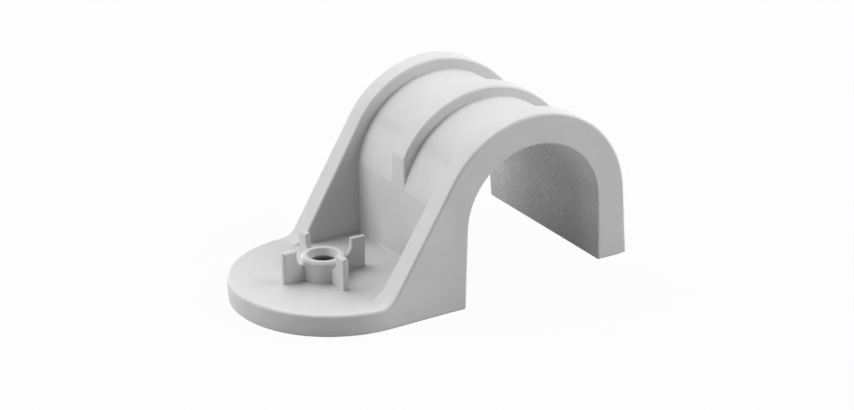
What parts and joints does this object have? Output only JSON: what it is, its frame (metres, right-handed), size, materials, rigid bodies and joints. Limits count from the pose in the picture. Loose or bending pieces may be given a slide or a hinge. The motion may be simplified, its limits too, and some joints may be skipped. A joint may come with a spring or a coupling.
{
  "type": "pipe clip",
  "caption": "One-piece moulded pipe clip: a ribbed arch over the pipe, gussets down to a rounded screw tab, a countersunk boss with fins, and a free leg.",
  "frame": {"origin": "centre of the screw hole at the mounting face", "axes": "+X from the screw hole to the pipe, +Y along the pipe, +Z away from the wall along the screw"},
  "size_m": [0.0725, 0.0404, 0.0358],
  "materials": {
    "body": "satin moulded"
  },
  "bodies": {
    "root": {"clip_body": "body"}
  },
  "joints": []
}
